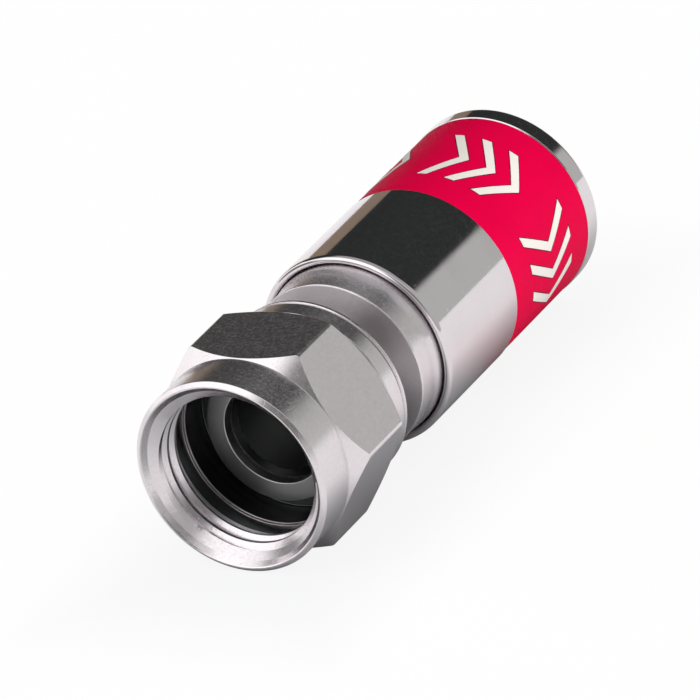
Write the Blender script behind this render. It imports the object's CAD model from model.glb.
# %% [markdown]
# A compression plug for coaxial cable, lying on a pale table on one flat of its nut.
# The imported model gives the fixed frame: every piece here is built in metres in that frame, and it
# takes the place of the plain solid of the same name. Nearly every piece was turned on a lathe, so
# one helper that spins a rounded outline makes most of them.

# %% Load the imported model
import math
import bpy
import numpy as np
from mathutils import Matrix, Vector


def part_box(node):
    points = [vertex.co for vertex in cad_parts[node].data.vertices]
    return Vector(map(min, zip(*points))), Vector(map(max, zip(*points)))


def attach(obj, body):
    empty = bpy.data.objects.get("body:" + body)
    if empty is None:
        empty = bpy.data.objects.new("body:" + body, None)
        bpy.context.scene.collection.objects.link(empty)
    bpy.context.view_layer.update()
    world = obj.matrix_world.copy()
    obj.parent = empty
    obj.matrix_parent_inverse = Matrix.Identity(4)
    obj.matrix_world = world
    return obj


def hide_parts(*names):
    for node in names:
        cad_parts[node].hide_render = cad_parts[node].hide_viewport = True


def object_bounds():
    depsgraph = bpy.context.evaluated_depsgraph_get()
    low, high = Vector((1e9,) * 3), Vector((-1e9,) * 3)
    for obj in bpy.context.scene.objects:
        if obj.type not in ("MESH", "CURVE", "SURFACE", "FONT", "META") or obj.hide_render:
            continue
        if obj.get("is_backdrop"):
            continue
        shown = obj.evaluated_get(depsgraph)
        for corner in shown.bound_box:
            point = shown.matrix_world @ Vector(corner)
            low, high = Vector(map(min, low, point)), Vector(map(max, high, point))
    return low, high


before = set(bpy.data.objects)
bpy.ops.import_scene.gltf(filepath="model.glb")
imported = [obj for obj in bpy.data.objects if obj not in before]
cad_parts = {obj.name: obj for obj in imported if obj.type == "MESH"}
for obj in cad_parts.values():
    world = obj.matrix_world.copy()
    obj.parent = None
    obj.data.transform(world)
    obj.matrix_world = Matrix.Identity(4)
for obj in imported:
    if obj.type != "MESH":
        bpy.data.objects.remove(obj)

cad_low, cad_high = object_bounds()
print("CAD box in mm:", [round(1000 * v, 3) for v in (cad_high - cad_low)])

# %% [markdown]
# The plug's axis runs along Y at a constant height. A turned piece is easiest to draw as an outline
# of radius and distance behind the nut's mouth, in millimetres, as on its workshop drawing. So the
# first values are the axis height, the mouth's place, and how far behind the mouth each piece ends.
# Typed numbers would do as well, but numbers read from the model follow it when a size changes.

# %% Read the main measures from the model
MM = 0.001                                                     # a millimetre in metres


def span(node):
    """First and last distance behind the mouth, and the largest radius, of a piece, in mm."""
    low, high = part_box(node)
    return ((low.y - mouth_y) / MM, (high.y - mouth_y) / MM, (high.x - low.x) / 2 / MM)


nut_low, nut_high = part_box("coupling_nut")
sleeve_low, sleeve_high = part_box("compression_sleeve")
mouth_y = nut_low.y
axis_height = (sleeve_low.z + sleeve_high.z) / 2
spanner = (nut_high.z - nut_low.z) / MM
nut_end, corner_r = span("coupling_nut")[1:]
post_start, post_end, flange_r = span("post")
body_start, body_end, body_r = span("body")
sleeve_start, sleeve_end, sleeve_r = span("compression_sleeve")
print("axis height", round(axis_height / MM, 3), "spanner", round(spanner, 3))
print("nut ends at", round(nut_end, 3), "sleeve from", round(sleeve_start, 3), "to", round(sleeve_end, 3))

# %% [markdown]
# The camera comes first, so that every later look is judged from the same place. A product view like
# this one uses a long lens from half a metre away, which keeps the far end almost as large as the near
# one. A short lens close by would swell the mouth. The camera looks down on the plug from the front
# right and is rolled a little.

# %% Place the camera
def place_camera(aim, azimuth, elevation, roll, distance, lens):
    """Looks at a point from an azimuth (0 looks along +Y) and an elevation, in degrees."""
    a, e = math.radians(azimuth), math.radians(elevation)
    back = Vector((math.sin(a) * math.cos(e), -math.cos(a) * math.cos(e), math.sin(e)))
    data = bpy.data.cameras.new("studio_camera")
    data.lens, data.sensor_width = lens, 36.0
    data.clip_start, data.clip_end = 0.02, 20.0
    camera = bpy.data.objects.new("studio_camera", data)
    bpy.context.scene.collection.objects.link(camera)
    turn = (-back).to_track_quat("-Z", "Y").to_matrix() @ Matrix.Rotation(math.radians(roll), 3, "Z")
    camera.matrix_world = Matrix.Translation(Vector(aim) + back * distance) @ turn.to_4x4()
    bpy.context.scene.camera = camera
    return camera


camera = place_camera(
    aim=(-0.869 * MM, -0.862 * MM, 5.130 * MM),
    azimuth=32.512, elevation=25.965, roll=-10.656, distance=0.529, lens=520.5,
)
print("camera at", [round(v, 4) for v in camera.location])

# %% [markdown]
# The studio and every material are trees of shader nodes. They could be drawn by hand in the node
# editor. In a script a tree stays short with one helper for each common step: add a node, do one step
# of arithmetic, rise smoothly between two limits, multiply shares, and blend two colours.

# %% Helpers that add and link shader nodes
def add_node(tree, kind, options=None, **inputs):
    """Adds a node, sets its options, and sets or links its inputs by name (or by place, as in i0)."""
    made = tree.nodes.new(kind)
    for name, value in (options or {}).items():
        setattr(made, name, value)
    for name, value in inputs.items():
        place = int(name[1:]) if name[0] == "i" and name[1:].isdigit() else name.replace("_", " ")
        if isinstance(value, bpy.types.NodeSocket):
            tree.links.new(value, made.inputs[place])
        else:
            made.inputs[place].default_value = value
    return made


def math_node(tree, operation, *values):
    """One step of arithmetic; the values are numbers or sockets."""
    return add_node(tree, "ShaderNodeMath", {"operation": operation},
                    **{f"i{k}": v for k, v in enumerate(values)}).outputs[0]


def split(tree, vector):
    """The three parts of a vector."""
    return add_node(tree, "ShaderNodeSeparateXYZ", Vector=vector).outputs


def ramp_up(tree, value, low, high, start=0.0, end=1.0):
    """Goes smoothly from start to end as value goes from low to high; low may be the larger one."""
    return add_node(tree, "ShaderNodeMapRange", {"interpolation_type": "SMOOTHSTEP"},
                    Value=value, From_Min=low, From_Max=high, To_Min=start, To_Max=end).outputs[0]


def overlap(tree, *shares):
    """The product of shares from 0 to 1: what lies inside all of them."""
    made = shares[0]
    for share in shares[1:]:
        made = math_node(tree, "MULTIPLY", made, share)
    return made


def mix_colour(tree, share, first, second):
    """Blends two colours by a share from 0 to 1."""
    made = tree.nodes.new("ShaderNodeMix")
    made.data_type = "RGBA"
    for socket, value in ((made.inputs[0], share), (made.inputs[6], first), (made.inputs[7], second)):
        if isinstance(value, bpy.types.NodeSocket):
            tree.links.new(value, socket)
        else:
            socket.default_value = value
    return made.outputs[2]


def grey(level):
    """A colour without hue."""
    return (level, level, level, 1.0)


print("node helpers ready")

# %% [markdown]
# Polished metal is a mirror, so its looks are the looks of the room. The room here is a studio table:
# a white sweep below, a ceiling above, white boxes to the left and front, a long black card behind the
# object that draws the dark stripe down a shiny tube, and a grey wall to the right. It could be built
# from panels, but panels get in the way of other views, so the room is painted on the world by
# direction. Each region is a colour and a few limits, and a later region covers an earlier one.

# %% Paint the studio on the world
def room_regions(tree, where):
    """Pairs of limits and a colour. A limit is a coordinate, its value outside and its value inside."""
    x, y, z = split(tree, where)
    side = math_node(tree, "ARCTAN2", x, y)                    # 0 is straight behind the object
    deg = math.radians
    behind_camera = add_node(tree, "ShaderNodeVectorMath", {"operation": "DOT_PRODUCT"},
                             i0=where, i1=Vector((0.48, -0.70, 0.52)).normalized()).outputs["Value"]
    behind = ((side, deg(-80), deg(-74)), (side, deg(33.5), deg(30)))
    right = ((side, deg(30), deg(33.5)), (side, deg(85), deg(80)))
    ceiling = mix_colour(tree, ramp_up(tree, y, -0.10, 0.15), grey(0.82), grey(0.40))
    return (
        (((z, 0.66, 0.76),), ceiling),
        # a white card low on the left, and a soft box up at the front left
        (((x, -0.80, -0.88), (y, -0.35, -0.25), (z, 0.55, 0.45)), grey(1.25)),
        (((z, 0.26, 0.38), (y, -0.12, -0.26), (x, 0.15, 0.04)), grey(1.45)),
        # the dark place behind the camera
        (((behind_camera, 0.915, 0.945),), grey(0.16)),
        # the grey wall at the right
        (right + ((z, 0.62, 0.52),), (0.525, 0.54, 0.52, 1.0)),
        # the warm foot of the wall, and the black card above it
        (behind + ((z, 0.26, 0.24),), (0.26, 0.20, 0.15, 1.0)),
        (behind + ((z, 0.76, 0.67), (z, 0.24, 0.26)), (0.022, 0.025, 0.024, 1.0)),
    )


def paint_studio():
    """The world's light by direction; beyond the table's edge the camera sees plain white."""
    world = bpy.data.worlds.new("studio")
    bpy.context.scene.world = world
    world.use_nodes = True
    tree = world.node_tree
    tree.nodes.clear()
    where = add_node(tree, "ShaderNodeTexCoord").outputs["Generated"]
    light = mix_colour(tree, ramp_up(tree, split(tree, where)[0], -0.6, 0.5), grey(0.22), grey(0.50))
    for limits, colour in room_regions(tree, where):
        inside = overlap(tree, *(ramp_up(tree, *limit) for limit in limits))
        light = mix_colour(tree, inside, light, colour)
    seen = add_node(tree, "ShaderNodeLightPath").outputs["Is Camera Ray"]
    light = mix_colour(tree, seen, light, grey(1.0))
    back = add_node(tree, "ShaderNodeBackground", Color=light, Strength=1.0)
    add_node(tree, "ShaderNodeOutputWorld", Surface=back.outputs[0])
    return world


studio = paint_studio()
print("studio world has", len(studio.node_tree.nodes), "nodes")

# %% [markdown]
# The table is a sheet of white paper. A plain white one would fill the plug's underside with glare, so
# a strip of cool grey card lies under the plug, as a product studio would do it. A thin box could be
# the card, but a colour that fades at its edges shows no outline. The camera sees the table lifted
# nearly to white, and the metal sees it only a touch lighter than it is, which keeps the background
# pale and the shadow soft.

# %% Lay the table
def table_paint():
    """Matt white with the grey strip, lifted towards white for the rays that look at it."""
    paint = bpy.data.materials.new("studio_floor")
    paint.use_nodes = True
    tree = paint.node_tree
    tree.nodes.clear()
    x, y, _ = split(tree, add_node(tree, "ShaderNodeTexCoord").outputs["Object"])
    beside = ramp_up(tree, math_node(tree, "ABSOLUTE", x), 3.5 * MM, 12.0 * MM)
    beyond = ramp_up(tree, math_node(tree, "ABSOLUTE", y), 16.0 * MM, 28.0 * MM)
    strip = mix_colour(tree, ramp_up(tree, y, -4.0 * MM, 4.0 * MM),
                       (0.37, 0.385, 0.39, 1.0), (0.53, 0.545, 0.55, 1.0))
    paper = mix_colour(tree, math_node(tree, "MAXIMUM", beside, beyond), strip, grey(0.90))
    matt = add_node(tree, "ShaderNodeBsdfDiffuse", Color=paper)
    glow = add_node(tree, "ShaderNodeEmission", Color=grey(1.0), Strength=1.0)
    ray = add_node(tree, "ShaderNodeLightPath")
    lifted = 0.0
    for kind, share in (("Is Camera Ray", 0.90), ("Is Glossy Ray", 0.03), ("Is Transmission Ray", 0.03)):
        lifted = math_node(tree, "MULTIPLY_ADD", ray.outputs[kind], share, lifted)
    both = add_node(tree, "ShaderNodeMixShader", i0=lifted, i1=matt.outputs[0], i2=glow.outputs[0])
    add_node(tree, "ShaderNodeOutputMaterial", Surface=both.outputs[0])
    return paint


def make_floor(reach=4.0):
    """A flat square round the origin."""
    mesh = bpy.data.meshes.new("studio_floor")
    corners = [(-reach, -reach, 0), (reach, -reach, 0), (reach, reach, 0), (-reach, reach, 0)]
    mesh.from_pydata(corners, [], [(0, 1, 2, 3)])
    mesh.materials.append(table_paint())
    floor = bpy.data.objects.new("studio_floor", mesh)
    bpy.context.scene.collection.objects.link(floor)
    floor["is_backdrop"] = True
    return floor


floor = make_floor()
print("floor is", [round(v, 2) for v in floor.dimensions[:2]], "m")

# %% [markdown]
# A painted room alone lights coloured plastic too evenly. So a soft key lamp from the right gives it
# shape, and a wide lamp overhead brightens the table. Light linking keeps each to its own task: the
# key skips the table, so that the table stays darker close beside the plug, as under a wide sky, and
# the overhead lamp skips the plug. Neither shows in the metal, which mirrors the painted room.

# %% Add the lamps
def soft_lamp(name, towards, distance, size, power):
    """A round lamp that shines on the origin from the given direction."""
    data = bpy.data.lights.new(name, "AREA")
    data.shape, data.size, data.energy = "DISK", size, power
    lamp = bpy.data.objects.new(name, data)
    bpy.context.scene.collection.objects.link(lamp)
    place = Vector(towards).normalized() * distance
    turn = (-place).to_track_quat("-Z", "Y").to_matrix().to_4x4()
    lamp.matrix_world = Matrix.Translation(place) @ turn
    lamp.visible_glossy = False
    return lamp


def link_light(lamp, piece, state):
    """Makes a lamp light only this piece (INCLUDE), or everything else (EXCLUDE)."""
    chosen = bpy.data.collections.new(lamp.name + "_link")
    chosen.objects.link(piece)
    lamp.light_linking.receiver_collection = chosen
    chosen.collection_objects[0].light_linking.link_state = state


key = soft_lamp("key_lamp", (0.86, -0.20, 0.50), distance=0.9, size=0.50, power=9.0)
link_light(key, floor, "EXCLUDE")
overhead = soft_lamp("table_lamp", (0.05, 0.05, 1.0), distance=1.2, size=2.4, power=12.5)
link_light(overhead, floor, "INCLUDE")
bpy.context.scene.view_settings.view_transform = "Standard"
print(len(bpy.data.lights), "lights in the file")

# %% [markdown]
# A turned edge is never sharp: the tool leaves a tiny radius, and that radius is what catches the
# light. Subdivision could soften the edges, but it also rounds the flats. So the outline itself gets
# true arcs, and each point keeps the exact direction of the surface, which is written to the mesh as
# its normal. Flats then stay flat and edges shine.

# %% Round an outline
def rounded(outline, default=0.02):
    """Turns corners (radius, distance[, fillet[, share]]) into points with their outward directions.

    share is 1 for an edge, after the corner, that lies on a flat of the hexagon, and 0 elsewhere.
    Returns an array of radius, distance, outward radius part, outward distance part, share."""
    degrees_a_step, most_of_edge = 18, 0.42                    # of an arc, and of an edge for one fillet
    corners = [tuple(c) + (default,) * (len(c) == 2) for c in outline]
    corners = [c if len(c) == 4 else c + (0.0,) for c in corners]
    points = np.array([c[:2] for c in corners])
    following = np.roll(points, -1, axis=0)
    area = np.sum(points[:, 0] * following[:, 1] - following[:, 0] * points[:, 1])
    hand = 1.0 if area > 0 else -1.0
    made = []
    for k, (_, _, fillet, share_out) in enumerate(corners):
        share_in = corners[k - 1][3]
        before, here, after = points[k - 1], points[k], points[(k + 1) % len(points)]
        u, v = here - before, after - here                     # the edges into and out of the corner
        lu, lv = np.linalg.norm(u), np.linalg.norm(v)
        u, v = u / lu, v / lv
        nu = hand * np.array([u[1], -u[0]])
        turn = math.atan2(u[0] * v[1] - u[1] * v[0], float(u @ v))
        half = math.tan(abs(turn) / 2)
        reach = min(fillet * half, most_of_edge * lu, most_of_edge * lv)
        radius = reach / half
        bulge = 1.0 if turn * hand > 0 else -1.0
        centre = here - u * reach - bulge * radius * nu
        steps = max(2, math.ceil(abs(math.degrees(turn)) / degrees_a_step - 0.05))
        for t in (step / steps for step in range(steps + 1)):
            angle = math.atan2(nu[1], nu[0]) + turn * t
            n = np.array([math.cos(angle), math.sin(angle)])
            p = centre + bulge * radius * n
            made.append((*p, *n, share_in + (share_out - share_in) * t))
    return np.array(made)


print("a square rounds to", len(rounded([(1, 0), (2, 0), (2, 1), (1, 1)], 0.1)), "points")

# %% [markdown]
# With the rounded outline, a piece is a grid that closes on itself both ways: round the axis and along
# the outline. Blender's Screw or Spin tools would leave a seam to merge; the grid has no poles or
# seams. Faces are turned to point outwards, and the exact normals are stored. Each finished piece is
# then handed to the frame, which has to know the body it moves with and the solid it stands for.

# %% Spin outlines into meshes
def link_mesh(name, verts, faces, material, normals):
    """Makes a smooth object at the origin from points in metres and their normals."""
    mesh = bpy.data.meshes.new(name)
    mesh.from_pydata(verts.tolist(), [], faces.tolist())
    mesh.polygons.foreach_set("use_smooth", [True] * len(mesh.polygons))
    mesh.materials.append(material)
    mesh.normals_split_custom_set_from_vertices(normals.tolist())
    mesh.update()
    made = bpy.data.objects.new(name, mesh)
    bpy.context.scene.collection.objects.link(made)
    return made


def skin(name, grid, material):
    """grid is angles by points by (x, distance, z, and the normal), about the axis, in mm."""
    turns, count = grid.shape[:2]
    place = grid.reshape(-1, 6)
    verts = np.stack([place[:, 0] * MM, place[:, 1] * MM + mouth_y, place[:, 2] * MM + axis_height], 1)
    normals = place[:, 3:] / np.linalg.norm(place[:, 3:], axis=1)[:, None]
    a, b = np.arange(turns)[:, None], np.arange(count)[None, :]
    a1, b1 = (a + 1) % turns, (b + 1) % count
    faces = np.stack([a * count + b, a1 * count + b, a1 * count + b1, a * count + b1], -1).reshape(-1, 4)
    across = np.cross(verts[faces[:, 2]] - verts[faces[:, 0]], verts[faces[:, 3]] - verts[faces[:, 1]])
    if np.sum(across * normals[faces[:, 0]]) < 0:
        faces = faces[:, ::-1]
    made = link_mesh(name, verts, faces, material, normals)
    print(name, "has", 2 * len(faces), "triangles")
    return made


def spin(name, outline, material, turns=240):
    """A turned piece from its outline of radius and distance."""
    profile = rounded(outline)
    angle = np.arange(turns) * 2 * math.pi / turns
    s, c = np.sin(angle)[:, None], np.cos(angle)[:, None]
    r, d, nr, nd = (profile[:, k][None, :] for k in range(4))
    grid = np.stack([r * s, d + 0 * s, r * c, nr * s, nd + 0 * s, nr * c], -1)
    return skin(name, grid, material)


def fit(piece, body, node):
    """Hands a finished piece to the frame: what it moves with, stands for and is finished as."""
    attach(piece, body)
    if node:
        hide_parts(node)


print("mesh helpers ready")

# %% [markdown]
# A finish varies from place to place: plate clouds, tools leave lines, handling leaves knocks. Each
# piece could be unwrapped to a flat map for this, but a turned piece has a better map of its own: its
# place in space, or its angle, distance and radius about the axis. Noise read at these places, and
# stretched along the tool's path, makes every pattern, and it can't slide or show a seam.

# %% Places and patterns on a surface
unroll_r = 5.0 * MM                                            # an angle becomes arc length at this radius


def surface_places(tree):
    """Place on the piece: plain, and unrolled as arc length, distance and radius."""
    plain = add_node(tree, "ShaderNodeTexCoord").outputs["Object"]
    centred = add_node(tree, "ShaderNodeVectorMath", {"operation": "SUBTRACT"},
                       i0=plain, i1=(0.0, 0.0, axis_height)).outputs[0]
    x, y, z = split(tree, centred)
    flat = add_node(tree, "ShaderNodeCombineXYZ", X=x, Z=z).outputs[0]
    radius = add_node(tree, "ShaderNodeVectorMath", {"operation": "LENGTH"}, i0=flat).outputs["Value"]
    arc = math_node(tree, "MULTIPLY", math_node(tree, "ARCTAN2", x, z), unroll_r)
    unrolled = add_node(tree, "ShaderNodeCombineXYZ", X=arc, Y=y, Z=radius).outputs[0]
    return plain, unrolled


def noise_at(tree, place, scale, detail=2.0, stretch=(1, 1, 1), roughness=0.5):
    """Noise whose grain is 1/scale metres, longer along an axis whose stretch is small."""
    scaled = add_node(tree, "ShaderNodeVectorMath", {"operation": "MULTIPLY"},
                      i0=place, i1=tuple(scale * s for s in stretch)).outputs[0]
    return add_node(tree, "ShaderNodeTexNoise", Vector=scaled, Scale=1.0, Detail=detail,
                    Roughness=roughness).outputs["Fac"]


def hair_lines(tree, place, scale, width, stretch, seed):
    """Thin curved scratches: where a stretched noise crosses its middle value, kept only in patches."""
    moved = add_node(tree, "ShaderNodeVectorMath", {"operation": "ADD"},
                     i0=place, i1=(seed, seed * 0.7, -seed)).outputs[0]
    level = noise_at(tree, moved, scale, 1.0, stretch)
    near = math_node(tree, "ABSOLUTE", math_node(tree, "SUBTRACT", level, 0.5))
    patches = ramp_up(tree, noise_at(tree, moved, scale * 2.3, 0.0), 0.52, 0.60)
    return math_node(tree, "MULTIPLY", ramp_up(tree, near, width, width * 0.4), patches)


def ring_zone(tree, unrolled, radii, distances, soft=0.04):
    """1 inside a ring of the piece, from its radii and its distances behind the mouth, in mm."""
    _, y, radius = split(tree, unrolled)
    inside = 1.0
    for value, (low, high), zero in ((radius, radii, 0.0), (y, distances, mouth_y)):
        for limit, side in ((low, 1), (high, -1)):
            edge = ramp_up(tree, value, zero + limit * MM, zero + (limit + side * soft) * MM)
            inside = math_node(tree, "MULTIPLY", inside, edge)
    return inside


def start_material(name):
    """An empty material with one Principled shader: the material, its tree and the shader."""
    made = bpy.data.materials.new(name)
    made.use_nodes = True
    tree = made.node_tree
    tree.nodes.clear()
    shader = add_node(tree, "ShaderNodeBsdfPrincipled")
    add_node(tree, "ShaderNodeOutputMaterial", Surface=shader.outputs[0])
    return made, tree, shader


print("patterns unroll at a radius of", unroll_r / MM, "mm")

# %% [markdown]
# Nickel plate is a warm grey mirror. On the smooth sleeve it stays bright, with only a few pin marks.
# On the milled nut the plate follows the cutter's fine lines and the small knocks of a bulk bag, which
# blur what it mirrors. In deep rings, where the plating bath hardly reached, it stays thin and dark.
# Four separate materials would repeat all of this, so one function makes them, with its strengths as
# arguments.

# %% Nickel plate
def nickel(name, colour, smooth, rough, grain, lines, marks, hairs=0.0, cloud=0.2, haze=0.05,
           turned=0.0, dark=(), faced=None):
    """smooth and rough are the roughness limits; grain, lines, marks and hairs are depths in mm.

    haze is the share that scatters, turned the anisotropy of a lathe finish, dark a list of ring
    zones in which plate is thin and dark, and faced a zone that the facing tool left rougher."""
    made, tree, shader = start_material(name)
    plain, unrolled = surface_places(tree)
    # clouds and grain of the plate, the tool's rings, knocks, pits that scatter, and scratches
    cloudy = noise_at(tree, plain, 420, 3.0)
    fine = noise_at(tree, plain, 9000, 3.0, roughness=0.6)
    rings = noise_at(tree, unrolled, 9000, 2.0, stretch=(0.02, 1, 1))
    nicks = ramp_up(tree, noise_at(tree, plain, 6500, 1.0, stretch=(1, 0.45, 1)), 0.70, 0.80)
    specks = ramp_up(tree, noise_at(tree, plain, 5200, 4.0, roughness=0.7), 0.42, 0.78,
                     1.0 - 0.5 * haze, 1.0 - 2.2 * haze)
    hair = math_node(tree, "ADD", hair_lines(tree, plain, 900, 0.010, (1, 0.35, 1), 0.31),
                     hair_lines(tree, plain, 900, 0.010, (0.35, 1, 0.8), 0.77))
    # gloss and tone follow clouds and grain together, and the depths add up to the bump
    share = math_node(tree, "ADD", math_node(tree, "MULTIPLY", cloudy, cloud),
                      math_node(tree, "MULTIPLY", fine, 1.0 - cloud))
    gloss = ramp_up(tree, share, 0.35, 0.68, smooth, rough)
    if faced:
        radii, distances, added = faced
        gloss = math_node(tree, "MULTIPLY_ADD", ring_zone(tree, unrolled, radii, distances), added, gloss)
    tarnished = tuple(c * f for c, f in zip(colour, (0.93, 0.92, 0.91))) + (1.0,)
    tone = mix_colour(tree, ramp_up(tree, share, 0.45, 0.80), tuple(colour) + (1.0,), tarnished)
    for radii, distances, level in dark:
        tone = mix_colour(tree, ring_zone(tree, unrolled, radii, distances), tone,
                          (level * 0.96, level, level, 1.0))
    height = math_node(tree, "MULTIPLY", fine, grain)
    for pattern, depth in ((rings, lines), (nicks, -marks), (hair, -hairs)):
        height = math_node(tree, "MULTIPLY_ADD", pattern, depth, height)
    bump = add_node(tree, "ShaderNodeBump", Strength=1.0, Distance=MM, Height=height)
    for socket, value in (("Roughness", gloss), ("Base Color", tone), ("Normal", bump.outputs[0]),
                          ("Metallic", specks)):
        tree.links.new(value, shader.inputs[socket])
    if turned:
        around = add_node(tree, "ShaderNodeTangent", {"direction_type": "RADIAL", "axis": "Y"})
        tree.links.new(around.outputs[0], shader.inputs["Tangent"])
        shader.inputs["Anisotropic"].default_value = turned
        shader.inputs["Anisotropic Rotation"].default_value = 0.25
    return made


nickel_tone = (0.765, 0.718, 0.742)
nut_plate = nickel(
    "nut_plate", nickel_tone, smooth=0.18, rough=0.26, grain=0.0008, lines=0.0005, marks=0.004, hairs=0.0015,
    dark=[((4.3, 5.0), (2.86, 3.90), 0.07),                    # the relief behind the thread
          ((4.3, 5.0), (4.02, 6.2), 0.12),                     # and further back in it
          ((5.0, 5.20), (9.33, 9.50), 0.06)])                  # the line round the collar
body_plate = nickel(
    "body_plate", nickel_tone, smooth=0.20, rough=0.28, grain=0.0008, lines=0.0008, marks=0.0012, turned=0.9,
    faced=((3.3, 4.93), (11.7, 12.1), 0.20))
post_plate = nickel(
    "post_plate", (0.745, 0.73, 0.735), smooth=0.28, rough=0.36, grain=0.0002, lines=0.0004, marks=0.0,
    cloud=0.5, haze=0.02,
    dark=[((2.3, 2.83), (4.87, 5.80), 0.016),                  # the counterbore in the flange
          ((2.3, 2.6), (5.70, 25.0), 0.45),                    # the bore
          ((2.87, 4.1), (4.7, 4.9), 0.40)])                    # the flange's front face
sleeve_plate = nickel(
    "sleeve_plate", nickel_tone, smooth=0.05, rough=0.10, grain=0.0002, lines=0.0001, marks=0.0015,
    cloud=0.6, haze=0.01)
print("nickel finishes:", [m.name for m in (nut_plate, body_plate, post_plate, sleeve_plate)])

# %% [markdown]
# The coupling nut is a turned blank with a hexagon milled on it. It could be cut with booleans, which
# leave ragged meshes. Here each column of the mesh is the nut's section at one angle. The hexagon's
# distance from the axis changes with the angle, and the two turned chamfers cut it where they meet it,
# so the curved edges on the flats come out by themselves. The hexagon's corners get a small radius.

# %% Hexagon columns
nose_r, nose_length = spanner / 2 - 0.05, 2.7
corner_length, rear_slope = 3.5, 0.82                          # the hexagon at a corner, and its rear chamfer
collar_r, lip_r, recess_r = 5.28, 3.33, 4.35
major_r = 4.7625                                               # the thread is 3/8 inch across
relief_r = major_r + 0.09


def hexagon_columns(across, corner_fillet, along_flat=28, along_corner=8):
    """Angle, distance from the axis and outward angle for each column round the nut."""
    columns = []
    flat_r, inner, half_turn = across / 2, across / 2 - corner_fillet, math.radians(30)
    for k in range(6):
        face = math.radians(60 * k)
        half = inner * math.tan(half_turn)
        for t in np.linspace(-1, 1, along_flat):
            columns.append((face + math.atan2(t * half, flat_r), math.hypot(t * half, flat_r), face))
        for t in np.linspace(0, 1, along_corner + 1)[1:-1]:
            outward = face + math.radians(60 * t)
            tip = face + half_turn
            x = inner / math.cos(half_turn) * math.sin(tip) + corner_fillet * math.sin(outward)
            z = inner / math.cos(half_turn) * math.cos(tip) + corner_fillet * math.cos(outward)
            columns.append((math.atan2(x, z), math.hypot(x, z), outward))
    return columns


nut_columns = hexagon_columns(spanner, corner_fillet=0.30)
print(len(nut_columns), "columns, corners at", round(max(c[1] for c in nut_columns), 3), "mm")

# %% [markdown]
# The section itself runs from the mouth's rounded rim back over the nose, the hexagon and the collar,
# round the rear end, and forward again through the recess for the body, the lip that the post's flange
# rests on, the relief behind the thread and the thread's bore. It is one closed outline, so the nut
# is a single solid skin, as the real one is a single piece of brass.

# %% Cut the coupling nut
def nut_outline(height):
    """Section of the nut where the hexagon stands at this height above the axis."""
    front = nose_length + height - nose_r
    corner_end = nose_length + corner_r - nose_r + corner_length
    rear = corner_end + (corner_r - height) * rear_slope
    collar = corner_end + (corner_r - collar_r) * rear_slope
    lip_front = post_start + 1.25
    return [
        # the mouth's rim and the nose
        (5.16, 0.05, 0.05), (5.22, 0.0, 0.05), (5.28, 0.0, 0.04),
        (nose_r, 0.22, 0.05), (nose_r, nose_length, 0.03),
        # the hexagon, its rear chamfer and a fine step down to the collar
        (height, front, 0.035, 1.0), (height, rear, 0.05),
        (collar_r - 0.10, collar + 0.082, 0.02), (collar_r - 0.10, collar + 0.18, 0.03),
        # the collar with a line turned round it
        (collar_r, collar + 0.26, 0.04), (collar_r, 9.30, 0.045),
        (collar_r - 0.14, 9.37, 0.02), (collar_r - 0.14, 9.43, 0.02),
        (collar_r, 9.50, 0.045), (collar_r, nut_end, 0.075),
        # the recess behind, and the lip
        (recess_r + 0.1, nut_end, 0.03), (recess_r, nut_end - 0.1, 0.03), (recess_r, lip_front + 1.4, 0.03),
        (lip_r, lip_front + 1.4, 0.05), (lip_r, lip_front, 0.05),
        # the relief with a low ridge in it, and the thread's bore
        (relief_r, lip_front, 0.08), (relief_r, 4.07, 0.03),
        (relief_r - 0.15, 4.02, 0.03), (relief_r - 0.15, 3.94, 0.03),
        (relief_r, 3.89, 0.03), (relief_r, 3.25, 0.04),
        (major_r, 3.15, 0.04), (major_r, 0.55, 0.04), (relief_r, 0.45, 0.04),
    ]


def build_nut():
    """One section for each column, with flat normals where it crosses a flat of the hexagon."""
    along = np.array([0, 1.0, 0])
    grid = []
    for angle, height, outward in nut_columns:
        profile = rounded(nut_outline(height))
        radial = np.array([math.sin(angle), 0, math.cos(angle)])
        flat = np.array([math.sin(outward), 0, math.cos(outward)])
        share = profile[:, 4:5]
        ground = radial * (1 - share) + flat * share
        normal = ground * profile[:, 2:3] + along * profile[:, 3:4]
        place = radial * profile[:, 0:1] + along * profile[:, 1:2]
        grid.append(np.hstack([place, normal]))
    return skin("coupling_nut_turned", np.array(grid), nut_plate)


coupling_nut = build_nut()
fit(coupling_nut, "nut", "coupling_nut")

# %% [markdown]
# Two pieces follow a rule better than an outline: the thread and the printed row. Both could be worked
# out point by point, but Geometry Nodes say the rule itself, with the sizes as named inputs. A node
# group needs an object to run on, so it runs on an empty one, and the result is kept as a plain mesh
# at the origin, as every finished piece has to be.

# %% Grow a mesh from a node group
def group_inputs(tree, sizes):
    """Adds a group's inputs by name with these defaults, and its one output."""
    kinds = {float: "NodeSocketFloat", int: "NodeSocketInt", bpy.types.Material: "NodeSocketMaterial"}
    for name, value in sizes.items():
        kind = kinds[type(value)]
        socket = tree.interface.new_socket(name, in_out="INPUT", socket_type=kind)
        if kind != "NodeSocketMaterial":
            socket.default_value = value
    tree.interface.new_socket("Geometry", in_out="OUTPUT", socket_type="NodeSocketGeometry")
    return tree.nodes.new("NodeGroupInput"), tree.nodes.new("NodeGroupOutput")


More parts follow.
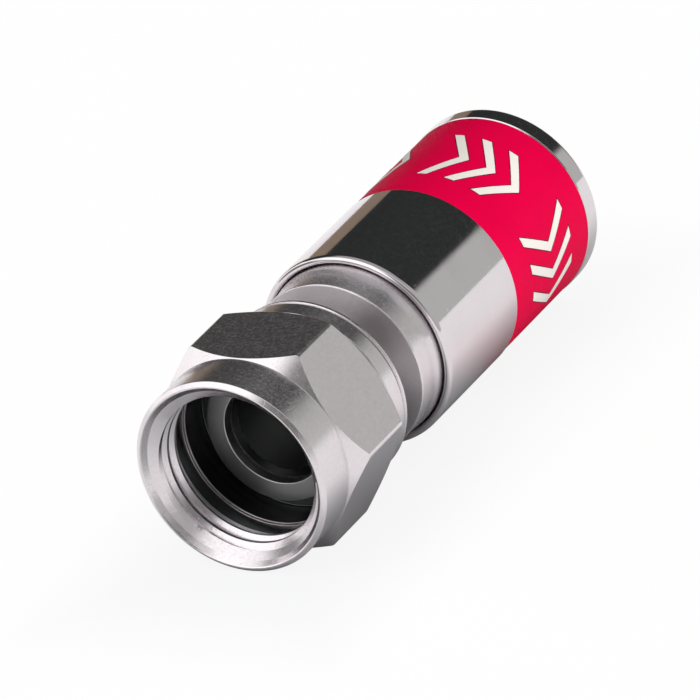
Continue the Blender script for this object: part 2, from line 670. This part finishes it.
def grow(name, tree, sizes):
    """Runs a node group on an empty object and keeps the result as a plain mesh."""
    holder = bpy.data.objects.new(name + "_holder", bpy.data.meshes.new(name + "_holder"))
    bpy.context.scene.collection.objects.link(holder)
    modifier = holder.modifiers.new("grow", "NODES")
    modifier.node_group = tree
    keys = {item.name: item.identifier for item in tree.interface.items_tree
            if item.item_type == "SOCKET" and item.in_out == "INPUT"}
    for label, value in sizes.items():
        modifier[keys[label]] = value
    depsgraph = bpy.context.evaluated_depsgraph_get()
    mesh = bpy.data.meshes.new_from_object(holder.evaluated_get(depsgraph))
    mesh.name = name
    holder.modifiers.remove(modifier)
    bpy.data.objects.remove(holder)
    made = bpy.data.objects.new(name, mesh)
    bpy.context.scene.collection.objects.link(made)
    print(name, "has", sum(len(p.vertices) - 2 for p in mesh.polygons), "triangles")
    return made


def point_place(tree):
    """The three parts of each point's own place."""
    return split(tree, add_node(tree, "GeometryNodeInputPosition").outputs[0])


def paint_and_finish(tree, geometry, material, result):
    """Makes instances real and sets the material, the last two steps of each group."""
    real = add_node(tree, "GeometryNodeRealizeInstances", Geometry=geometry).outputs[0]
    painted = add_node(tree, "GeometryNodeSetMaterial", Geometry=real, Material=material).outputs[0]
    tree.links.new(painted, result.inputs[0])


print("node groups can be grown")

# %% [markdown]
# The port thread is 3/8-32: 32 ridges to the inch, cut inside the nose, with the crests worn down by
# the lead-in cone. A screw modifier could turn one section round the axis, but it can't thin the ridge
# towards its ends. So Geometry Nodes carry the section along a spiral line, and a last step pushes the
# crests out to the cone at the mouth and fades the far end into the wall.

# %% Port thread with Geometry Nodes
def thread_tree(sizes):
    """A ridge swept along a helix, its crests cut back by the lead-in cone and faded at the end."""
    edge_share, crest_share, crease = 0.16, 0.909, math.radians(24)
    tree = bpy.data.node_groups.new("port_thread", "GeometryNodeTree")
    given, result = group_inputs(tree, sizes)
    size = given.outputs
    turns = math_node(tree, "DIVIDE", size["Length"], size["Pitch"])
    line = add_node(tree, "GeometryNodeCurveSpiral", Resolution=144, Rotations=turns, Reverse=True,
                    Start_Radius=size["Root radius"], End_Radius=size["Root radius"], Height=size["Length"])
    upright = add_node(tree, "GeometryNodeSetCurveNormal", {"mode": "Z_UP"}, Curve=line.outputs[0])
    section = add_node(tree, "GeometryNodeCurvePrimitiveQuadrilateral", {"mode": "TRAPEZOID"},
                       Height=size["Ridge height"], Bottom_Width=size["Root width"],
                       Top_Width=size["Crest width"], Offset=0.0)
    soft = add_node(tree, "GeometryNodeFilletCurve", {"mode": "POLY"}, Curve=section.outputs[0], Count=2,
                    Radius=math_node(tree, "MULTIPLY", size["Crest width"], edge_share))
    inward = add_node(tree, "GeometryNodeTransform", Geometry=soft.outputs[0],
                      Rotation=(0.0, 0.0, math.radians(90)))
    swept = add_node(tree, "GeometryNodeCurveToMesh", Curve=upright.outputs[0],
                     Profile_Curve=inward.outputs[0], Fill_Caps=True).outputs[0]
    # cut the crests back to the cone, and fade the ridge out at its far end
    x, y, z = point_place(tree)
    z = math_node(tree, "MAXIMUM", z, size["Front limit"])
    out = math_node(tree, "SQRT", math_node(tree, "ADD", math_node(tree, "MULTIPLY", x, x),
                                            math_node(tree, "MULTIPLY", y, y)))
    narrowing = math_node(tree, "MULTIPLY", z, size["Cone slope"])
    cone = math_node(tree, "SUBTRACT", size["Cone radius"], narrowing)
    fade = add_node(tree, "ShaderNodeMapRange", Value=z,
                    From_Min=math_node(tree, "SUBTRACT", size["Length"], size["Fade"]),
                    From_Max=size["Length"],
                    To_Min=math_node(tree, "MULTIPLY", size["Root radius"], crest_share),
                    To_Max=size["Root radius"]).outputs[0]
    kept = math_node(tree, "MAXIMUM", math_node(tree, "MAXIMUM", out, cone), fade)
    grown = math_node(tree, "DIVIDE", kept, out)
    place = add_node(tree, "ShaderNodeCombineXYZ", X=math_node(tree, "MULTIPLY", x, grown),
                     Y=math_node(tree, "MULTIPLY", y, grown), Z=z).outputs[0]
    cut = add_node(tree, "GeometryNodeSetPosition", Geometry=swept, Position=place).outputs[0]
    # lay it along the plug's axis, smooth but for its creases
    move = add_node(tree, "ShaderNodeCombineXYZ", Y=size["Start"], Z=size["Axis height"]).outputs[0]
    laid = add_node(tree, "GeometryNodeTransform", Geometry=cut, Translation=move,
                    Rotation=(math.radians(-90), 0.0, 0.0)).outputs[0]
    smooth = add_node(tree, "GeometryNodeSetShadeSmooth", {"domain": "FACE"}, Geometry=laid).outputs[0]
    fold = add_node(tree, "GeometryNodeInputMeshEdgeAngle").outputs["Unsigned Angle"]
    sharp = add_node(tree, "FunctionNodeCompare", {"data_type": "FLOAT", "operation": "GREATER_THAN"},
                     i0=fold, i1=crease).outputs[0]
    smooth = add_node(tree, "GeometryNodeSetShadeSmooth", {"domain": "EDGE"}, Geometry=smooth,
                      Selection=sharp, Shade_Smooth=False).outputs[0]
    paint_and_finish(tree, smooth, size["Material"], result)
    return tree


pitch = 25.4 / 32
thread_sizes = {
    "Pitch": pitch * MM, "Length": 2.42 * MM, "Root radius": 4.80 * MM, "Ridge height": 0.87 * MM,
    "Root width": 1.20 * MM, "Crest width": 0.21 * MM, "Cone radius": 5.026 * MM, "Cone slope": 1.74,
    "Fade": 0.25 * MM, "Front limit": -0.12 * MM, "Start": mouth_y + 0.28 * MM,
    "Axis height": axis_height, "Material": nut_plate,
}
port_thread = grow("port_thread", thread_tree(thread_sizes), thread_sizes)
fit(port_thread, "nut", None)
points = [v.co for v in port_thread.data.vertices]
radii = [math.hypot(p.x, p.z - axis_height) / MM for p in points]
depths = [(p.y - mouth_y) / MM for p in points]
print("thread radii", round(min(radii), 3), "to", round(max(radii), 3))
print("thread depth", round(min(depths), 3), "to", round(max(depths), 3))

# %% [markdown]
# The post is the thin tube that goes under the cable's braid. Its flange sits in the nut and meets the
# end of the port, and its one barb holds the braid. Like the real one it is turned from one outline.
# The fine lines of the facing tool stay on the flange, so its plate is a little duller than the
# sleeve's.

# %% Turn the post
barrel_r, bore_r = 2.85, 2.5
counterbore_r = bore_r + 0.34
flange_end, barb_start = post_start + 1.2, post_end - 2.3
post = spin("post_turned", [
    (counterbore_r, post_start, 0.045), (flange_r, post_start, 0.10), (flange_r, flange_end, 0.05),
    (barrel_r, flange_end, 0.02), (barrel_r, barb_start, 0.04), (barrel_r + 0.3, barb_start, 0.04),
    (bore_r + 0.1, post_end, 0.03), (bore_r, post_end - 0.1, 0.04), (bore_r, post_start + 0.92, 0.10),
    (counterbore_r, post_start + 0.65, 0.20),
], post_plate)
fit(post, "plug_body", "post")

# %% [markdown]
# The body is pressed onto the post and holds the cable's jacket. Its neck sits in the nut's recess,
# and the nut turns round it. A slightly conical shoulder rises to a waist, and a long soft flare leads
# under the sleeve, where a groove holds a rubber ring. A spline could draw the flare, but two corners
# with very large fillets give the same soft line and stay exact.

# %% Turn the body
shoulder, neck_r = 12.05, 3.25
waist_r = body_r - 0.09
flare_end = sleeve_start - 0.15
chamber_r, rim_chamfer = body_r - 0.95, 0.475
core_end = shoulder + 4.6
groove_r, groove_start = 4.15, span("body_seal")[0] - 0.04
groove_end = groove_start + 0.98
body = spin("body_turned", [
    (barrel_r, body_start, 0.03), (neck_r, body_start, 0.05), (neck_r, shoulder - 0.27, 0.08),
    (waist_r, shoulder, 0.11), (waist_r, flare_end - 0.45, 2.6), (body_r, flare_end, 1.3),
    (body_r, groove_start, 0.04), (groove_r, groove_start, 0.04), (groove_r, groove_end, 0.04),
    (body_r, groove_end, 0.04), (body_r, body_end - rim_chamfer, 0.05),
    (body_r - rim_chamfer, body_end, 0.05), (chamber_r, body_end, 0.05),
    (chamber_r, core_end + chamber_r - barrel_r, 0.05), (barrel_r, core_end, 0.03),
], body_plate)
fit(body, "plug_body", "body")

# %% [markdown]
# The compression sleeve is the plug's bright face: a thin brass shell with a rounded front lip, a
# shallow seat for the coloured band and a turned-in rear wall. The tool pushes it over the body. A
# Solidify modifier could give a shell its wall, but the seat and the lip need their own outline.

# %% Turn the sleeve
sleeve_bore_r, seat_r, entry_r = 5.09, 5.35, 4.2
band_start, band_end, band_r = span("colour_band")
grip_start, grip_end, grip_r = span("grip_ring")
sleeve = spin("sleeve_turned", [
    (sleeve_bore_r + 0.14, sleeve_start, 0.20), (sleeve_r - 0.20, sleeve_start, 0.30),
    (sleeve_r - 0.05, sleeve_start + 0.08, 0.30), (sleeve_r, sleeve_start + 0.26, 0.40),
    (sleeve_r, band_start, 0.03), (seat_r, band_start, 0.02), (seat_r, band_end, 0.02),
    (band_r, band_end, 0.02), (sleeve_r, band_end + 0.05, 0.03), (sleeve_r, sleeve_end, 0.30),
    (entry_r, sleeve_end, 0.16), (entry_r, grip_end, 0.03), (sleeve_bore_r, grip_end, 0.03),
    (sleeve_bore_r, sleeve_start + 0.36, 0.10), (sleeve_bore_r + 0.03, sleeve_start + 0.14, 0.20),
], sleeve_plate)
fit(sleeve, "sleeve", "compression_sleeve")

# %% [markdown]
# The other finishes are moulded or printed: satin plastic for the band and its ink, waxy acetal for
# the grip ring and matt rubber for the seals. Each is a deep even colour that only varies a little in
# tone and gloss, with a faint skin like orange peel. A single flat colour would look like a drawing,
# and a picture of plastic would repeat, so one function mixes two scales of noise for all of them.

# %% Plastics and rubber
def moulded(name, colour, rough, gloss, skin_depth, skin_size, variation=0.06):
    """Moulded or printed plastic: even colour, satin gloss and a fine skin, its sizes in mm."""
    made, tree, shader = start_material(name)
    plain = surface_places(tree)[0]
    cloudy = noise_at(tree, plain, 300, 3.0)
    fine = noise_at(tree, plain, 1000 / skin_size, 2.0)
    darker = tuple(c * (1 - variation) for c in colour) + (1.0,)
    tone = mix_colour(tree, ramp_up(tree, cloudy, 0.3, 0.7), tuple(colour) + (1.0,), darker)
    satin = ramp_up(tree, fine, 0.3, 0.7, rough * 0.85, rough * 1.15)
    bump = add_node(tree, "ShaderNodeBump", Strength=1.0, Distance=MM,
                    Height=math_node(tree, "MULTIPLY", fine, skin_depth))
    for socket, value in (("Base Color", tone), ("Roughness", satin), ("Normal", bump.outputs[0])):
        tree.links.new(value, shader.inputs[socket])
    shader.inputs["Specular IOR Level"].default_value = gloss
    return made


band_paint = moulded("band_paint", (0.54, 0.0003, 0.040), 0.50, 0.02, 0.0006, 0.10)
print_paint = moulded("print_paint", (0.62, 0.59, 0.55), 0.55, 0.15, 0.0006, 0.08)
edge_paint = moulded("edge_paint", (0.16, 0.004, 0.02), 0.55, 0.10, 0.0006, 0.08)
acetal = moulded("ring_acetal", (0.80, 0.79, 0.75), 0.38, 0.5, 0.0010, 0.15)
rubber = moulded("ring_rubber", (0.018, 0.018, 0.019), 0.50, 0.45, 0.0020, 0.06, 0.3)
waxy = acetal.node_tree.nodes["Principled BSDF"].inputs
waxy["Subsurface Weight"].default_value = 0.25
waxy["Subsurface Radius"].default_value = (0.6 * MM, 0.5 * MM, 0.4 * MM)
print("moulded finishes:", [m.name for m in (band_paint, print_paint, edge_paint, rubber, acetal)])

# %% [markdown]
# The colour band tells installers which cable the plug fits. It is a thin ring of satin plastic that
# lies in the sleeve's seat. A strip could be bent round, as for a label, but the ring has no joint,
# so it is spun like the metal.

# %% Fit the colour band
band = spin("colour_band_ring", [
    (seat_r, band_start, 0.015), (band_r, band_start, 0.03),
    (band_r, band_end, 0.03), (seat_r, band_end, 0.015),
], band_paint)
fit(band, "sleeve", "colour_band")

# %% [markdown]
# Inside the sleeve's rear sits a pale moulded ring. When the sleeve is pushed home, the ring is
# squeezed onto the cable, and the fine teeth between the notches of its bore bite the jacket. An array
# of small rings could make them, but each notch runs all the way round, so its corners simply belong
# to the outline.

# %% Mould the grip ring
def grip_outline(bore=3.8, notches=6, notch_pitch=0.6, notch_depth=0.14):
    """The grip ring from its front corner round the outside, then back through the notched bore."""
    first, deepest, length = grip_start + 1.2, 0.28, 0.42      # the first notch, and a notch's shape
    outline = [(bore + 0.2, grip_start, 0.04), (grip_r - 0.3, grip_start, 0.05),
               (grip_r, grip_start + 0.6, 0.06), (grip_r, grip_end, 0.04),
               (bore + 0.2, grip_end, 0.04), (bore, grip_end - 0.2, 0.04)]
    for k in reversed(range(notches)):
        notch = first + notch_pitch * k
        outline += [(bore, notch + length, 0.02), (bore + notch_depth, notch + deepest, 0.02),
                    (bore, notch, 0.02)]
    return outline + [(bore, grip_start + 0.2, 0.04)]


grip_ring = spin("grip_ring_moulded", grip_outline(), acetal, turns=160)
fit(grip_ring, "sleeve", "grip_ring")

# %% [markdown]
# Two rubber rings keep water out, one between the nut and the body, and one under the sleeve. Blender
# has a torus for such a ring. A real one also shows two fine lines where the halves of its mould met,
# so its round section is drawn point by point, with the two points on those lines a hair lower.

# %% Mould the seals
def seal(name, node, body_name, steps=40, mould_line=0.012):
    """A rubber ring of round section with its two fine mould lines, in the space of its solid."""
    start, end, outer = span(node)
    section = end - start
    ring = []
    for k in range(steps):
        a = 2 * math.pi * k / steps
        r = section / 2 * (1.0 - mould_line * (k in (0, steps // 2)))
        ring.append((outer - section / 2 + r * math.cos(a), start + section / 2 + r * math.sin(a), 0.002))
    made = spin(name, ring, rubber, turns=120)
    fit(made, body_name, node)


seal("nut_seal_ring", "nut_seal", "nut_carrier")
seal("body_seal_ring", "body_seal", "plug_body")

# %% [markdown]
# The band carries a plain printed row of chevrons, in threes, with a thin dark edge where the ink was
# laid twice. An image could be wrapped round the ring, but ink with a real thickness keeps its edge
# from any distance. The row repeats round the ring, so Geometry Nodes draw one group flat, repeat it
# along a line as long as the ring is round, bend the line into the ring and give the ink its thickness.

# %% Printed row with Geometry Nodes
def chevron(tree, size, shift):
    """A flat stroke whose middle stands ahead of its ends, moved along the row by a socket."""
    sheet = add_node(tree, "GeometryNodeMeshGrid", Size_X=size["Stroke"], Size_Y=size["Height"],
                     Vertices_X=3, Vertices_Y=25).outputs[0]
    lean = math_node(tree, "MULTIPLY", size["Slope"], -1.0)
    back = math_node(tree, "MULTIPLY", math_node(tree, "ABSOLUTE", point_place(tree)[1]), lean)
    offset = add_node(tree, "ShaderNodeCombineXYZ", X=math_node(tree, "ADD", back, shift)).outputs[0]
    return add_node(tree, "GeometryNodeSetPosition", Geometry=sheet, Offset=offset).outputs[0]


def printed_row_tree(sizes):
    """Groups of three chevrons round a ring, bent from a flat line and given a thickness."""
    tree = bpy.data.node_groups.new("printed_row", "GeometryNodeTree")
    given, result = group_inputs(tree, sizes)
    size = given.outputs
    length = math_node(tree, "MULTIPLY", size["Radius"], 2 * math.pi)
    step = math_node(tree, "DIVIDE", length, size["Count"])
    group = add_node(tree, "GeometryNodeJoinGeometry")
    for place in (-1.0, 0.0, 1.0):
        shift = math_node(tree, "MULTIPLY", size["Spacing"], place)
        tree.links.new(chevron(tree, size, shift), group.inputs[0])
    line = add_node(tree, "GeometryNodeMeshLine", Count=size["Count"],
                    Offset=add_node(tree, "ShaderNodeCombineXYZ", X=step).outputs[0]).outputs[0]
    row = add_node(tree, "GeometryNodeInstanceOnPoints", Points=line, Instance=group.outputs[0]).outputs[0]
    flat = add_node(tree, "GeometryNodeRealizeInstances", Geometry=row).outputs[0]
    # give the ink its thickness, and close it underneath
    ink = add_node(tree, "GeometryNodeExtrudeMesh", Mesh=flat, Offset=(0.0, 0.0, 1.0),
                   Offset_Scale=size["Thickness"], Individual=False).outputs[0]
    solid = add_node(tree, "GeometryNodeJoinGeometry")
    tree.links.new(ink, solid.inputs[0])
    tree.links.new(add_node(tree, "GeometryNodeFlipFaces", Mesh=flat).outputs[0], solid.inputs[0])
    closed = add_node(tree, "GeometryNodeMergeByDistance", Geometry=solid.outputs[0],
                      Distance=2e-6).outputs[0]
    # bend the line into the ring
    x, y, z = point_place(tree)
    angle = math_node(tree, "ADD", math_node(tree, "DIVIDE", x, size["Radius"]), size["Turn"])
    out = math_node(tree, "ADD", size["Radius"], z)
    high = math_node(tree, "MULTIPLY_ADD", out, math_node(tree, "COSINE", angle), size["Axis height"])
    across = math_node(tree, "MULTIPLY", out, math_node(tree, "SINE", angle))
    place = add_node(tree, "ShaderNodeCombineXYZ", X=across, Y=math_node(tree, "ADD", y, size["Centre"]),
                     Z=high).outputs[0]
    bent = add_node(tree, "GeometryNodeSetPosition", Geometry=closed, Position=place).outputs[0]
    paint_and_finish(tree, bent, size["Material"], result)
    return tree


row_sizes = {
    "Radius": (band_r - 0.004) * MM, "Centre": mouth_y + (band_start + band_end) / 2 * MM, "Height": 4.5 * MM,
    "Stroke": 0.56 * MM, "Slope": 0.62, "Spacing": 1.62 * MM, "Count": 5, "Thickness": 0.018 * MM,
    "Turn": math.radians(30), "Axis height": axis_height, "Material": print_paint,
}
edge_sizes = dict(row_sizes, Height=row_sizes["Height"] + 0.12 * MM, Stroke=row_sizes["Stroke"] + 0.15 * MM,
                  Thickness=0.010 * MM, Material=edge_paint)
for label, sizes in (("band_print_row", row_sizes), ("band_print_edge", edge_sizes)):
    fit(grow(label, printed_row_tree(sizes), sizes), "sleeve", None)

# %% [markdown]
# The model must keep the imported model's size, so both boxes are written down and compared.

# %% Measure and finish
visual_low, visual_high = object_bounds()
change = (visual_high - visual_low) - (cad_high - cad_low)
print("box change in mm:", [round(1000 * v, 4) for v in change])
